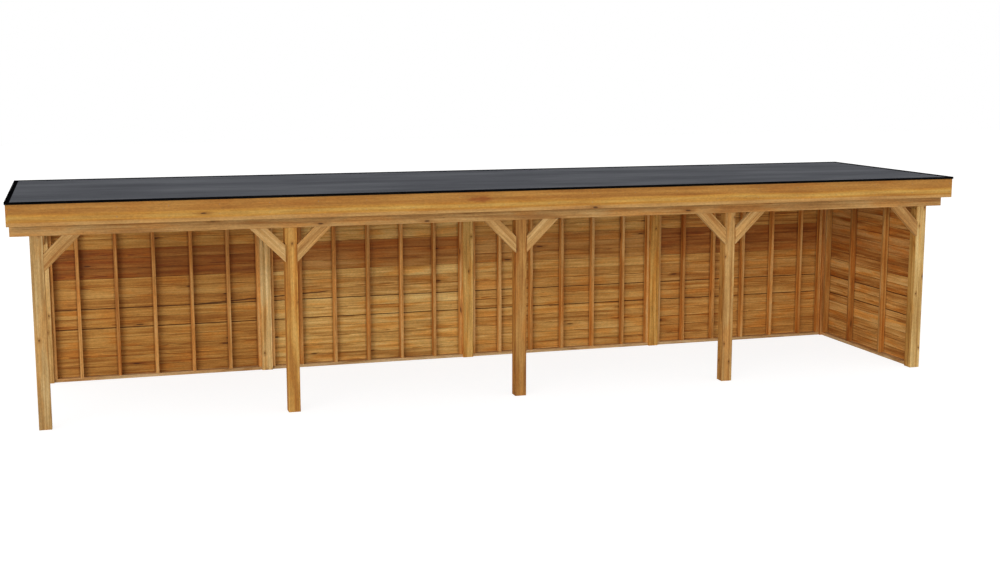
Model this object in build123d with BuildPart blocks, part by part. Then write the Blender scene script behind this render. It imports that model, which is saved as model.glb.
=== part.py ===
from build123d import *
import os

# A freestanding timber veranda: four open bays along the front, a boarded back wall,
# one boarded end wall, one open end, and a flat roof with a metal edge.
# X runs along the front, Y from the open front to the back wall, Z up from the floor.
# The origin is on the floor under the middle of the roof. All sizes are in millimetres.

# The frame of posts.
bay_pitch = 3000.0
bay_count = 4
post_width = 150.0
post_arris = 3.0
frame_depth = 2715.0
headroom = 2350.0

# The ring beam, in notches cut in the post tops, a little proud of the posts.
beam_thickness = 70.0
beam_height = 195.0
beam_proud = 25.0
beam_arris = 3.0
side_beam_inset = 40.0

# The braces, at 45 degrees from the posts up to the beams.
brace_reach = 430.0
brace_width = 150.0
brace_arris = 3.0

# Wall framing and boarding.
stud_width = 45.0
stud_depth = 90.0
plate_height = 45.0
cladding_thickness = 23.0
studs_between = 5
end_bay_first_stud = 370.0
end_bay_stud_pitch = 510.0
middle_bay_stud_pitch = 496.0
right_wall_studs_between = 2
right_wall_stud_pitch = 890.0

# The roof, from the rafters up to the metal edge.
rafter_width = 45.0
rafter_height = 195.0
rafter_count = 22
deck_thickness = 27.0
membrane_thickness = 2.0
roof_overhang = 240.0
fascia_thickness = 22.0
fascia_lap = 56.0
fascia_arris = 2.0
trim_standoff = 8.0
trim_wall = 2.0
trim_flange = 55.0
trim_leg = 30.0
trim_lip = 7.0

# Worked out from the sizes above.
frame_length = bay_pitch * bay_count + post_width
bay_width = bay_pitch - post_width
left_face = -frame_length / 2
right_face = frame_length / 2
front_face = -frame_depth / 2
back_face = frame_depth / 2
side_span = frame_depth - 2 * post_width
beam_top = headroom + beam_height
beam_housing = beam_thickness - beam_proud
rafter_top = beam_top + rafter_height
deck_top = rafter_top + deck_thickness
membrane_top = deck_top + membrane_thickness
deck_overhang = roof_overhang - fascia_thickness
deck_length = frame_length + 2 * deck_overhang
deck_depth = frame_depth + 2 * deck_overhang
fascia_length = frame_length + 2 * roof_overhang
fascia_depth = frame_depth + 2 * roof_overhang
fascia_bottom = beam_top - fascia_lap
fascia_height = deck_top - fascia_bottom
trim_overhang = roof_overhang + trim_standoff + trim_wall
trim_length = frame_length + 2 * trim_overhang
trim_depth = frame_depth + 2 * trim_overhang
trim_top = membrane_top + trim_wall + trim_lip
stud_height = headroom - 2 * plate_height
brace_foot = brace_width * 2**0.5
post_centres = [left_face + post_width / 2 + bay * bay_pitch for bay in range(bay_count + 1)]
LOW_CORNER = (Align.MIN, Align.MIN, Align.MIN)

os.makedirs("parts", exist_ok=True)


def keep(part, name):
    part.label = name
    export_step(part, f"parts/{name}.step")


# A post is square timber up to the beam's top, with a notch for the beam in its outer face.
def make_post(x_centre, outward):
    outer_face = outward * frame_depth / 2
    with BuildPart() as post:
        with BuildSketch(Plane.XY):
            with Locations((x_centre, outer_face - outward * post_width / 2)):
                Rectangle(post_width, post_width)
        extrude(amount=beam_top)
        chamfer(post.edges().filter_by(Axis.Z), post_arris)
        with BuildSketch(Plane.XY.offset(headroom)):
            with Locations((x_centre, outer_face - outward * beam_housing / 2)):
                Rectangle(post_width, beam_housing)
        extrude(amount=beam_height, mode=Mode.SUBTRACT)
    return post.part


for number, x_centre in enumerate(post_centres, start=1):
    keep(make_post(x_centre, outward=-1), f"front_post_{number}")
    keep(make_post(x_centre, outward=1), f"back_post_{number}")


# The long beams run the whole length of the roof and end behind the end fascias.
def make_long_beam(outward):
    y_centre = outward * (frame_depth / 2 + beam_proud - beam_thickness / 2)
    with BuildPart() as beam:
        with Locations((0, y_centre, headroom + beam_height / 2)):
            Box(deck_length, beam_thickness, beam_height)
        chamfer(beam.edges().filter_by(Axis.X), beam_arris)
    return beam.part


keep(make_long_beam(outward=-1), "front_beam")
keep(make_long_beam(outward=1), "back_beam")


# The side beams fit between the tops of the corner posts.
def make_side_beam(outward):
    x_centre = outward * (frame_length / 2 - side_beam_inset - beam_thickness / 2)
    with BuildPart() as beam:
        with Locations((x_centre, 0, headroom + beam_height / 2)):
            Box(beam_thickness, side_span, beam_height)
        chamfer(beam.edges().filter_by(Axis.Y), beam_arris)
    return beam.part


keep(make_side_beam(outward=-1), "left_beam")
keep(make_side_beam(outward=1), "right_beam")


# A brace is drawn in the corner of a post and a beam: local X leads away from the post, local Y up.
# Its foot is cut to the post and its head to the underside of the beam.
def make_brace(corner):
    with BuildPart() as brace:
        with BuildSketch(corner):
            with BuildLine():
                Polyline(
                    (0, -brace_reach),
                    (brace_reach, 0),
                    (brace_reach - brace_foot, 0),
                    (0, brace_foot - brace_reach),
                    close=True,
                )
            make_face()
        extrude(amount=beam_thickness)
        grain = Axis(corner.origin, corner.x_dir + corner.y_dir)
        chamfer(brace.edges().filter_by(grain), brace_arris)
    return brace.part


beam_front = front_face - beam_proud
for number, x_centre in enumerate(post_centres, start=1):
    right_corner = Plane(
        origin=(x_centre + post_width / 2, beam_front + beam_thickness, headroom),
        x_dir=(1, 0, 0),
        z_dir=(0, -1, 0),
    )
    left_corner = Plane(
        origin=(x_centre - post_width / 2, beam_front, headroom),
        x_dir=(-1, 0, 0),
        z_dir=(0, 1, 0),
    )
    if number <= bay_count:
        keep(make_brace(right_corner), f"front_brace_{number}_right")
    if number > 1:
        keep(make_brace(left_corner), f"front_brace_{number}_left")

# The open left end has a brace at each of its two posts.
side_corners = [
    Plane(
        origin=(left_face + side_beam_inset, -side_span / 2, headroom),
        x_dir=(0, 1, 0),
        z_dir=(1, 0, 0),
    ),
    Plane(
        origin=(left_face + side_beam_inset + beam_thickness, side_span / 2, headroom),
        x_dir=(0, -1, 0),
        z_dir=(-1, 0, 0),
    ),
]
with BuildPart() as side_braces:
    for corner in side_corners:
        add(make_brace(corner))
keep(side_braces.part, "side_braces")

# The back wall: in each bay, seven studs between a bottom and a top plate, boarded outside.
# The end bays are set out from their corner posts and the middle bays from their own middles.
stud_front = back_face - cladding_thickness - stud_depth


def stud_offsets(bay):
    if bay == 0:
        inner = [end_bay_first_stud + step * end_bay_stud_pitch for step in range(studs_between)]
    elif bay == bay_count - 1:
        inner = [
            bay_width - end_bay_first_stud - step * end_bay_stud_pitch for step in range(studs_between)
        ]
    else:
        middle = (studs_between - 1) / 2
        inner = [
            bay_width / 2 + (step - middle) * middle_bay_stud_pitch for step in range(studs_between)
        ]
    return [stud_width / 2, *inner, bay_width - stud_width / 2]


def bay_left(bay):
    return post_centres[bay] + post_width / 2


for bay in range(bay_count):
    with BuildPart() as studs:
        for offset in stud_offsets(bay):
            with Locations((bay_left(bay) + offset - stud_width / 2, stud_front, plate_height)):
                Box(stud_width, stud_depth, stud_height, align=LOW_CORNER)
    keep(studs.part, f"back_wall_studs_{bay + 1}")
    with BuildPart() as cladding:
        with Locations((bay_left(bay), back_face - cladding_thickness, 0)):
            Box(bay_width, cladding_thickness, headroom, align=LOW_CORNER)
    keep(cladding.part, f"back_wall_cladding_{bay + 1}")

with BuildPart() as back_wall_plates:
    for bay in range(bay_count):
        for height in (0, headroom - plate_height):
            with Locations((bay_left(bay), stud_front, height)):
                Box(bay_width, stud_depth, plate_height, align=LOW_CORNER)
keep(back_wall_plates.part, "back_wall_plates")

# The right end wall, framed and boarded in the same way between its corner posts.
right_stud_face = right_face - cladding_thickness - stud_depth
right_inner_studs = [
    (step - (right_wall_studs_between - 1) / 2) * right_wall_stud_pitch
    for step in range(right_wall_studs_between)
]
right_end_stud = side_span / 2 - stud_width / 2
with BuildPart() as right_wall_studs:
    for y_centre in (-right_end_stud, *right_inner_studs, right_end_stud):
        with Locations((right_stud_face, y_centre - stud_width / 2, plate_height)):
            Box(stud_depth, stud_width, stud_height, align=LOW_CORNER)
keep(right_wall_studs.part, "right_wall_studs")

with BuildPart() as right_wall_plates:
    for height in (0, headroom - plate_height):
        with Locations((right_stud_face, -side_span / 2, height)):
            Box(stud_depth, side_span, plate_height, align=LOW_CORNER)
keep(right_wall_plates.part, "right_wall_plates")

with BuildPart() as right_wall_cladding:
    with Locations((right_face - cladding_thickness, -side_span / 2, 0)):
        Box(cladding_thickness, side_span, headroom, align=LOW_CORNER)
keep(right_wall_cladding.part, "right_wall_cladding")

# The rafters cross both long beams and carry the deck; the outer ones back the end fascias.
rafter_pitch = (deck_length - rafter_width) / (rafter_count - 1)
with BuildPart() as rafters:
    with Locations((0, 0, beam_top + rafter_height / 2)):
        with GridLocations(rafter_pitch, 0, rafter_count, 1):
            Box(rafter_width, deck_depth, rafter_height)
keep(rafters.part, "rafters")

with BuildPart() as roof_deck:
    with Locations((0, 0, rafter_top + deck_thickness / 2)):
        Box(deck_length, deck_depth, deck_thickness)
keep(roof_deck.part, "roof_deck")

# The membrane laps over the deck and the top edges of the fascias.
with BuildPart() as roof_membrane:
    with Locations((0, 0, deck_top + membrane_thickness / 2)):
        Box(fascia_length, fascia_depth, membrane_thickness)
keep(roof_membrane.part, "roof_membrane")

# The front and back fascias stand between the end fascias, whose ends show at the corners.
fascia_middle = fascia_bottom + fascia_height / 2
with BuildPart() as fascia_front_and_back:
    for outward in (-1, 1):
        with Locations((0, outward * (fascia_depth - fascia_thickness) / 2, fascia_middle)):
            Box(deck_length, fascia_thickness, fascia_height)
    lower_edges = fascia_front_and_back.edges().filter_by(Axis.X).group_by(Axis.Z)[0]
    chamfer(lower_edges, fascia_arris)
keep(fascia_front_and_back.part, "fascia_front_and_back")

with BuildPart() as fascia_ends:
    for outward in (-1, 1):
        with Locations((outward * (fascia_length - fascia_thickness) / 2, 0, fascia_middle)):
            Box(fascia_thickness, fascia_depth, fascia_height)
    lower_edges = fascia_ends.edges().filter_by(Axis.Y).group_by(Axis.Z)[0]
    chamfer(lower_edges, fascia_arris)
keep(fascia_ends.part, "fascia_ends")


# One bar of the metal roof edge: local X along the edge, local Y inward, mitred at both ends.
# A flange lies on the membrane, a leg hangs in front of the fascia, and a lip holds the water.
def make_trim(edge, length):
    with BuildPart() as trim:
        with BuildSketch(edge.offset(trim_top - trim_leg)):
            with BuildLine():
                Polyline(
                    (-length / 2, 0),
                    (length / 2, 0),
                    (length / 2 - trim_flange, trim_flange),
                    (trim_flange - length / 2, trim_flange),
                    close=True,
                )
            make_face()
        extrude(amount=trim_leg)
        end = edge.origin - edge.x_dir * (length / 2)
        with BuildSketch(Plane(origin=end, x_dir=edge.y_dir, z_dir=edge.x_dir)):
            with Locations((0, trim_top - trim_leg)):
                Rectangle(trim_wall, trim_leg, align=(Align.MIN, Align.MIN))
            with Locations((0, membrane_top)):
                Rectangle(trim_flange, trim_wall, align=(Align.MIN, Align.MIN))
        extrude(amount=length, mode=Mode.INTERSECT)
    return trim.part


with BuildPart() as roof_trim_front_and_back:
    for outward in (-1, 1):
        edge = Plane(origin=(0, outward * trim_depth / 2, 0), x_dir=(-outward, 0, 0), z_dir=(0, 0, 1))
        add(make_trim(edge, trim_length))
keep(roof_trim_front_and_back.part, "roof_trim_front_and_back")

with BuildPart() as roof_trim_ends:
    for outward in (-1, 1):
        edge = Plane(origin=(outward * trim_length / 2, 0, 0), x_dir=(0, outward, 0), z_dir=(0, 0, 1))
        add(make_trim(edge, trim_depth))
keep(roof_trim_ends.part, "roof_trim_ends")
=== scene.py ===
# %% [markdown]
# A freestanding timber veranda, dressed for a studio render.
# The real thing is a row of square posts under a long flat roof. The back and the right end are
# closed with horizontal boards on studs, and the front and the left end are open.
# Its pieces come ready made, at their real size, from the packed frame. This lesson gives each one
# its finish, swaps the plain wall and roof panels for separate boards, and adds the screws.

# %% Load the frame
import math
import random

import bmesh
import bpy
from mathutils import Euler, Matrix, Vector


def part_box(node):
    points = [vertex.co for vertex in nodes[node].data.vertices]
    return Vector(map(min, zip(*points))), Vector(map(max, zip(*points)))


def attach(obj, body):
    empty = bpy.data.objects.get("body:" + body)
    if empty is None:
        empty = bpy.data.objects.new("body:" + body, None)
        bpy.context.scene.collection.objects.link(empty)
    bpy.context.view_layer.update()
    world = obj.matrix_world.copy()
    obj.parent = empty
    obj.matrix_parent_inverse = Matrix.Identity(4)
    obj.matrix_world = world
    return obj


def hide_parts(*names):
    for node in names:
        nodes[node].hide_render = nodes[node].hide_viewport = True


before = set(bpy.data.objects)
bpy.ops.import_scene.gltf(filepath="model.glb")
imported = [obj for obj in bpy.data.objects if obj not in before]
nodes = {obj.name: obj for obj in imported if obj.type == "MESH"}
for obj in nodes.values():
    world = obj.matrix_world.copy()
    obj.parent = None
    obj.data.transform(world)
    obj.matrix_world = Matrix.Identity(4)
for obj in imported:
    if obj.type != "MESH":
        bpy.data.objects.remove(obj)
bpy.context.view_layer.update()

# %% [markdown]
# The camera stands in front of the left end, above the roof's height, and looks down a little.
# It could be placed by eye, but the straight edges of the building give its place exactly. From
# this far off the posts stay nearly parallel. Places are in metres and turns in radians.

# %% Camera
LENS = 50.0
SENSOR_WIDTH = 36.0
CAMERA_PLACE = (-5.5186, -18.4693, 4.3485)
CAMERA_TURN_RIGHT = 0.2966
CAMERA_TILT_DOWN = 0.1553
FAR_CLIP = 200.0

camera_data = bpy.data.cameras.new("camera")
camera_data.lens = LENS
camera_data.sensor_width = SENSOR_WIDTH
camera_data.clip_end = FAR_CLIP
camera = bpy.data.objects.new("camera", camera_data)
camera.location = CAMERA_PLACE
camera.rotation_euler = (math.pi / 2 - CAMERA_TILT_DOWN, 0.0, -CAMERA_TURN_RIGHT)
bpy.context.scene.collection.objects.link(camera)
bpy.context.scene.camera = camera
bpy.context.scene.view_settings.view_transform = "Standard"
print("camera at", CAMERA_PLACE, "with a lens of", LENS, "mm")

# %% [markdown]
# Colours are written as the eye reads them on a screen, 0 to 255, and turned into the linear light
# that the shader works in. Writing linear numbers by hand would work too, but nobody can picture
# them. A small helper pushes a whole family of tones towards a tint, or makes it darker.

# %% Colours
def shade(red, green, blue):
    channels = []
    for value in (red, green, blue):
        part = value / 255.0
        channels.append(part / 12.92 if part <= 0.04045 else ((part + 0.055) / 1.055) ** 2.4)
    return (*channels, 1.0)


def grey(value):
    return (value, value, value, 1.0)


def tinted(tones, tint):
    return tuple((*(channel * part for channel, part in zip(tone, tint)), 1.0) for tone in tones)


print("screen grey 128 is", round(shade(128, 128, 128)[0], 3), "in linear light")

# %% [markdown]
# A material and a world are small networks of nodes. They could be wired one node and one link at
# a time, but then the pattern drowns in wiring. A Network holds the nodes while they are being
# joined, with short ways to add one: any node, a sum, a sum of arrows.

# %% Network
class Network:
    """The nodes of a material or a world while it is being built."""

    def __init__(self, tree):
        self.tree = tree
        self.tree.nodes.clear()

    def join(self, value, socket):
        if isinstance(value, bpy.types.NodeSocket):
            self.tree.links.new(value, socket)
        else:
            socket.default_value = value

    def node(self, kind, inputs=None, **settings):
        node = self.tree.nodes.new("ShaderNode" + kind)
        for key, value in settings.items():
            setattr(node, key, value)
        for key, value in (inputs or {}).items():
            self.join(value, node.inputs[key])
        return node

    def calc(self, operation, *values):
        return self.node("Math", dict(enumerate(values)), operation=operation).outputs[0]

    def times(self, first, second):
        return self.calc("MULTIPLY", first, second)

    def swing(self, value, reach, about):
        """about, plus half the reach where value is 1, minus half of it where value is 0."""
        return self.calc("MULTIPLY_ADD", self.calc("SUBTRACT", value, 0.5), reach, about)

    def vector(self, operation, *values):
        return self.node("VectorMath", dict(enumerate(values)), operation=operation).outputs[0]

    def apart(self, vector):
        return self.node("SeparateXYZ", {"Vector": vector}).outputs

    def part_of_row(self, value, low, pitch):
        """0 to 1 over each row of boards that starts at low."""
        return self.calc("FRACT", self.calc("DIVIDE", self.calc("SUBTRACT", value, low), pitch))


print("a Network has", ", ".join(name for name in vars(Network) if not name.startswith("_")))

# %% [markdown]
# A Finish is a Network for one material. It starts with a bare surface and with the place of each
# point, in metres along the object's own axes. Its patterns are a stretched noise, a soft step, a
# row of colours and a mix.

# %% Finish
class Finish(Network):
    """A material while it is being built."""

    def __init__(self, name):
        self.material = bpy.data.materials.new(name)
        self.material.use_nodes = True
        super().__init__(self.material.node_tree)
        self.output = self.node("OutputMaterial")
        self.surface = self.node("BsdfPrincipled")
        self.join(self.surface.outputs["BSDF"], self.output.inputs["Surface"])
        self.place = self.node("TexCoord").outputs["Object"]

    def give(self, name, value):
        """Gives the surface one of its values, fixed or as a pattern."""
        self.join(value, self.surface.inputs[name])

    def noise(self, place, stretch, detail=2.0, roughness=0.5, output="Fac"):
        spot = self.vector("MULTIPLY", place, stretch)
        inputs = {"Vector": spot, "Scale": 1.0, "Detail": detail, "Roughness": roughness}
        return self.node("TexNoise", inputs).outputs[output]

    def fade(self, value, low, high, to_low=0.0, to_high=1.0, soft=True):
        inputs = {"Value": value, "From Min": low, "From Max": high, "To Min": to_low, "To Max": to_high}
        kind = "SMOOTHSTEP" if soft else "LINEAR"
        return self.node("MapRange", inputs, interpolation_type=kind).outputs["Result"]

    def row(self, factor, stops, interpolation="LINEAR"):
        node = self.node("ValToRGB", {"Fac": factor})
        ramp = node.color_ramp
        ramp.interpolation = interpolation
        ramp.elements[0].position, ramp.elements[0].color = stops[0]
        ramp.elements[1].position, ramp.elements[1].color = stops[-1]
        for position, colour in stops[1:-1]:
            ramp.elements.new(position).color = colour
        return node.outputs["Color"]

    def mix(self, factor, first, second, blend="MIX"):
        inputs = {0: factor, 6: first, 7: second}
        return self.node("Mix", inputs, data_type="RGBA", blend_type=blend).outputs[2]

    def tint(self, factor, colour, tone):
        """Multiplies the colour by the tone, as far as the factor says."""
        return self.mix(factor, colour, tone, "MULTIPLY")

    def as_colour(self, value):
        return self.node("CombineColor", {"Red": value, "Green": value, "Blue": value}).outputs["Color"]

    def bump(self, height, strength, distance):
        inputs = {"Height": height, "Strength": strength, "Distance": distance}
        self.give("Normal", self.node("Bump", inputs).outputs["Normal"])


print("a Finish adds", ", ".join(name for name in vars(Finish) if not name.startswith("_")))

# %% [markdown]
# Some nodes hold several timbers, such as the studs of one bay. Their places could be typed in,
# but would go stale when the frame changes. So their boxes are found by walking along the edges of
# the mesh from corner to corner, after the loose triangles of a copy are joined.

# %% Timbers inside a node
WELD = 0.00005


def timber_boxes(node_name):
    """The (low, high) corners of each separate solid in a frame node, from left to right."""
    mesh = bmesh.new()
    mesh.from_mesh(nodes[node_name].data)
    bmesh.ops.remove_doubles(mesh, verts=mesh.verts, dist=WELD)
    waiting = set(mesh.verts)
    boxes = []
    while waiting:
        timber = [waiting.pop()]
        for vertex in timber:
            for edge in vertex.link_edges:
                other = edge.other_vert(vertex)
                if other in waiting:
                    waiting.remove(other)
                    timber.append(other)
        low = Vector([min(vertex.co[axis] for vertex in timber) for axis in range(3)])
        high = Vector([max(vertex.co[axis] for vertex in timber) for axis in range(3)])
        boxes.append((low, high))
    mesh.free()
    return sorted(boxes, key=lambda corners: tuple(corners[0]))


rafter_boxes = timber_boxes("rafters")
print(len(rafter_boxes), "rafters found")

# %% [markdown]
# Each timber of such a node needs a number of its own, so that no two look alike. The timbers
# share one object, so a random number for each object won't do. A row of colours laid along the
# wall will: it holds one grey for each timber and changes halfway between two of them.

# %% A number for each timber
AXES = {"X": Vector((1, 0, 0)), "Y": Vector((0, 1, 0)), "Z": Vector((0, 0, 1))}
END_MARGIN = 1.0


def steps_along(finish, axis, boxes, dice):
    """A number from 0 to 1 for each timber of a row, which changes halfway between two of them."""
    middles = [((low + high) / 2).dot(AXES[axis]) for low, high in boxes]
    first, last = middles[0] - END_MARGIN, middles[-1] + END_MARGIN
    stops = [(0.0, grey(dice.random()))]
    for left, right in zip(middles, middles[1:]):
        stops.append((((left + right) / 2 - first) / (last - first), grey(dice.random())))
    stops.append((1.0, stops[-1][1]))
    spread = finish.fade(finish.apart(finish.place)[axis], first, last, soft=False)
    return finish.row(spread, stops, "CONSTANT")


print("rows of timbers can run along", ", ".join(AXES))

# %% [markdown]
# Douglas fir is the main finish. A plank is cut from a round log, so its surface shows slices of
# the growth rings: straight lines where the cut passes beside the heart, long arches where it
# grazes a ring. A flat picture of wood would break at every corner, so the material is solid: it
# knows where each point lies in the log. GRAIN gives the turns that bring each timber's length
# onto the pattern's own X axis, and every timber has its own place in one endless log.

# %% A place in the log
GRAIN = {
    "along_x": (0.0, 0.0, 0.0),
    "along_y": (0.0, 0.0, -math.pi / 2),
    "upright": (0.0, math.pi / 2, 0.0),
    "rising_right": (0.0, math.pi / 4, 0.0),
    "rising_left": (0.0, 3 * math.pi / 4, 0.0),
    "side_brace": (-math.pi / 4, math.pi / 2, 0.0),
}
SEED_STEP = (3.7, 1.31, 2.17)
OWN_STEP = {"X": 41.0, "Y": 23.0, "Z": 17.0}


def log_place(finish, turned, seed, pieces):
    """Where a timber lies in the log, and its own number, which is None for a single timber."""
    spot = finish.vector("ADD", turned, [step * seed for step in SEED_STEP])
    if pieces is None:
        return spot, None
    if pieces == "attribute":
        own = finish.node("Attribute", attribute_name="piece_seed").outputs["Fac"]
    else:
        own = steps_along(finish, *pieces, random.Random(seed))
    jump = {axis: finish.times(own, step) for axis, step in OWN_STEP.items()}
    return finish.vector("ADD", spot, finish.node("CombineXYZ", jump).outputs[0]), own


print(len(GRAIN), "ways for the grain to run")

# %% [markdown]
# The rings are circles round a heart line that runs along the timber. A post, beam or brace has
# the heart inside it, a little off the middle. Each board was cut somewhere else from its log, so
# its heart lies above, below or behind it, as its own number says.

# %% Heart line
HEART_OFF_MIDDLE = (0.018, -0.022)
BOARD_HEART_UP = (0.10, -0.05)
BOARD_HEART_BEHIND = (0.05, 0.012)


def heart_of(node_name, grain):
    """Where the heart of the log lies in a single timber, in the turned axes."""
    low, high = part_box(node_name)
    middle = Euler(GRAIN[grain]).to_matrix() @ ((low + high) / 2)
    return (middle.y + HEART_OFF_MIDDLE[0], middle.z + HEART_OFF_MIDDLE[1])


def from_heart(finish, turned, own, heart, board):
    """How far each point lies across and up from the heart line."""
    parts = finish.apart(turned)
    if board is not None:
        axis, low, pitch = board
        row_part = finish.part_of_row(parts[axis], low, pitch)
        up = finish.calc("MULTIPLY_ADD", row_part, pitch, -pitch / 2)
        up = finish.calc("ADD", up, finish.calc("MULTIPLY_ADD", own, *BOARD_HEART_UP))
        return finish.calc("MULTIPLY_ADD", own, *BOARD_HEART_BEHIND), up
    if heart is not None:
        return finish.calc("SUBTRACT", parts["Y"], heart[0]), finish.calc("SUBTRACT", parts["Z"], heart[1])
    return parts["Y"], parts["Z"]


print("heart of the front beam at", [round(part, 3) for part in heart_of("front_beam", "along_x")])

# %% [markdown]
# Perfect circles would give ruled lines. So the heart line drifts slowly sideways, which draws out
# the arches, and small waves make each ring tremble. In each ring the pale early wood darkens
# slowly into late wood, and then the next ring starts sharply.

# %% Rings
RING_GAP = 0.0065
HEART_DRIFT = 0.045
RING_WAVES = 0.006
DRIFT_STRETCH = (0.35, 0.4, 0.4)
WAVE_STRETCH = (1.1, 7.0, 7.0)
LATE_WOOD = (0.35, 0.92)


def rings(finish, spot, across, up):
    """0 in the pale early wood, rising to 1 in the dark late wood of each ring."""
    drift = finish.apart(finish.noise(spot, DRIFT_STRETCH, output="Color"))
    waves = finish.apart(finish.noise(spot, WAVE_STRETCH, output="Color"))
    squares = []
    for value, part in ((across, "X"), (up, "Y")):
        moved = finish.calc("MULTIPLY_ADD", drift[part], HEART_DRIFT * 2, value)
        moved = finish.calc("MULTIPLY_ADD", waves[part], RING_WAVES * 2, moved)
        squares.append(finish.times(moved, moved))
    reach = finish.calc("SQRT", finish.calc("ADD", *squares))
    phase = finish.calc("FRACT", finish.calc("DIVIDE", reach, RING_GAP))
    start, end = LATE_WOOD
    return finish.times(finish.fade(phase, start, end), finish.fade(phase, end, 1.0, 1.0, 0.0))


print("one ring every", RING_GAP * 1000, "mm")

# %% [markdown]
# Knots are where branches left the trunk. They lie flush, so colour is enough. They are scattered
# with a cell pattern: a dark core is drawn round the middle of a cell, and a warm halo fades out
# beyond. The pattern lies in a flat map of length by girth, so a knot shows on every face that it
# reaches. Planks have long eyes where the saw cut branches at a slant, so their cells are
# stretched.

# %% Knots
KNOT = shade(70, 38, 16)
KNOT_RAGGED = (3.0, 3.0, 3.0)
KNOT_WANDER = (0.12, 0.12, 0.0)
CORE_RIM = 0.45
HALO_RIM = (0.8, 3.2)
PLANK_KNOTS = dict(per_metre=1.2, girth_per_metre=6.5, size=0.080, share=0.10)
BEAM_KNOTS = dict(per_metre=1.6, girth_per_metre=6.0, size=0.085, share=0.45)
POST_KNOTS = dict(per_metre=4.0, girth_per_metre=7.0, size=0.075, share=0.22)
FASCIA_KNOTS = dict(per_metre=1.2, girth_per_metre=4.0, size=0.060, share=0.04)


def darken_toward_knot(finish, colour, where, strength):
    return finish.mix(finish.times(where, strength), colour, KNOT)


def knots(finish, spot, per_metre, girth_per_metre, size, share):
    """(core, halo), both 0 away from knots. size is a part of a cell, share how many cells have one."""
    parts = finish.apart(spot)
    girth = finish.calc("ADD", parts["Y"], parts["Z"])
    flat_map = finish.node("CombineXYZ", {
        "X": finish.times(parts["X"], per_metre),
        "Y": finish.times(girth, girth_per_metre),
    }).outputs[0]
    ragged = finish.noise(flat_map, KNOT_RAGGED, output="Color")
    flat_map = finish.vector("MULTIPLY_ADD", ragged, KNOT_WANDER, flat_map)
    cells = finish.node("TexVoronoi", {"Vector": flat_map, "Scale": 1.0}, voronoi_dimensions="2D")
    chosen = finish.calc("LESS_THAN", finish.apart(cells.outputs["Color"])["X"], share)
    away = cells.outputs["Distance"]
    core = finish.fade(away, size * CORE_RIM, size, 1.0, 0.0)
    halo = finish.fade(away, size * HALO_RIM[0], size * HALO_RIM[1], 1.0, 0.0)
    return finish.times(chosen, core), finish.times(chosen, halo)


print("about", round(POST_KNOTS["per_metre"] * POST_KNOTS["share"], 1), "knots in a metre of post face")

# %% [markdown]
# The ground colour comes from wide patches and narrow streaks. One colour made darker and lighter
# would look like dyed plastic, so the tone picks from a row of three. Late wood pulls it towards
# the dark one, and each timber of a group has its own tone. A second, warmer tint comes and goes
# in patches, as resin does.

# %% Ground colour
PATCHES = (1.3, 9.0, 9.0)
STREAKS = (0.6, 30.0, 30.0)
RESIN = (1.5, 10.0, 10.0)
PATCH_REACH = 1.1
STREAK_REACH = 1.9
LATE_REACH = -0.28
TONE_STOPS = (0.08, 0.45, 0.85)
RESIN_EDGE = (0.48, 0.66)
WARM = (1.04, 0.80, 0.50, 1.0)


def ground_colour(finish, spot, own, late, tones, streak, own_tone, warm):
    streaks = finish.noise(spot, STREAKS, detail=4.0, roughness=0.62)
    tone = finish.swing(streaks, STREAK_REACH * streak, 0.5)
    tone = finish.swing(finish.noise(spot, PATCHES), PATCH_REACH * streak, tone)
    if own is not None:
        tone = finish.swing(own, own_tone, tone)
    tone = finish.calc("MULTIPLY_ADD", late, LATE_REACH, tone)
    colour = finish.row(tone, list(zip(TONE_STOPS, tones)))
    resin = finish.fade(finish.noise(spot, RESIN), *RESIN_EDGE)
    return finish.tint(finish.times(resin, warm), colour, WARM)


print("a streak is about", round(1000 / STREAKS[1]), "mm wide")

# %% [markdown]
# Up close the wood is never smooth in colour. Fine fibres run along it, short flecks cross them
# where the grain tilts towards the light, and thin drying cracks open here and there. A crack is
# found where a stretched noise passes through its middle value, which always gives long threads.
# Nearly all of a noise lies between the two values of NOISE_SPAN.

# %% Fibres, flecks and cracks
FIBRES = (6.0, 300.0, 300.0)
FIBRE_LIGHT = (0.86, 1.12)
FLECKS = (26.0, 60.0, 60.0)
FLECK_LIGHT = (0.85, 1.15)
THREADS = (0.9, 55.0, 55.0)
THREAD_WIDTH = 0.006
CRACKED_PARTS = (0.8, 9.0, 9.0)
CRACKED_EDGE = (0.62, 0.68)
NOISE_SPAN = (0.3, 0.7)


def fine_light(finish, spot, fibres):
    """A grey near 1 that lightens and darkens the wood in fibres and flecks."""
    flecks = finish.noise(spot, FLECKS, detail=3.0, roughness=0.7)
    fleck_light = finish.fade(flecks, *NOISE_SPAN, *FLECK_LIGHT, soft=False)
    fibre_light = finish.fade(fibres, *NOISE_SPAN, *FIBRE_LIGHT, soft=False)
    return finish.as_colour(finish.times(fibre_light, fleck_light))


def cracks(finish, spot):
    """1 in a drying crack, 0 elsewhere."""
    threads = finish.noise(spot, THREADS, detail=1.0)
    off_middle = finish.calc("ABSOLUTE", finish.calc("SUBTRACT", threads, 0.5))
    thread = finish.fade(off_middle, 0.0, THREAD_WIDTH, 1.0, 0.0)
    cracked = finish.fade(finish.noise(spot, CRACKED_PARTS, detail=0.0), *CRACKED_EDGE)
    return finish.times(thread, cracked)


print("a fibre is about", round(1000 / FIBRES[1]), "mm wide, a fleck", round(1000 / FLECKS[0]), "mm long")

# %% [markdown]
# The whole finish lays these over each other. Dry planed wood hardly shines, so the reflection is
# turned down, and the relief of the fibres is too fine to model, so it only bends the light. Two
# openings are left for single pieces: bands may change the ground colour before the fibres come,
# and marks may darken the finished one. One function keeps all timbers members of one family.

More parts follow.
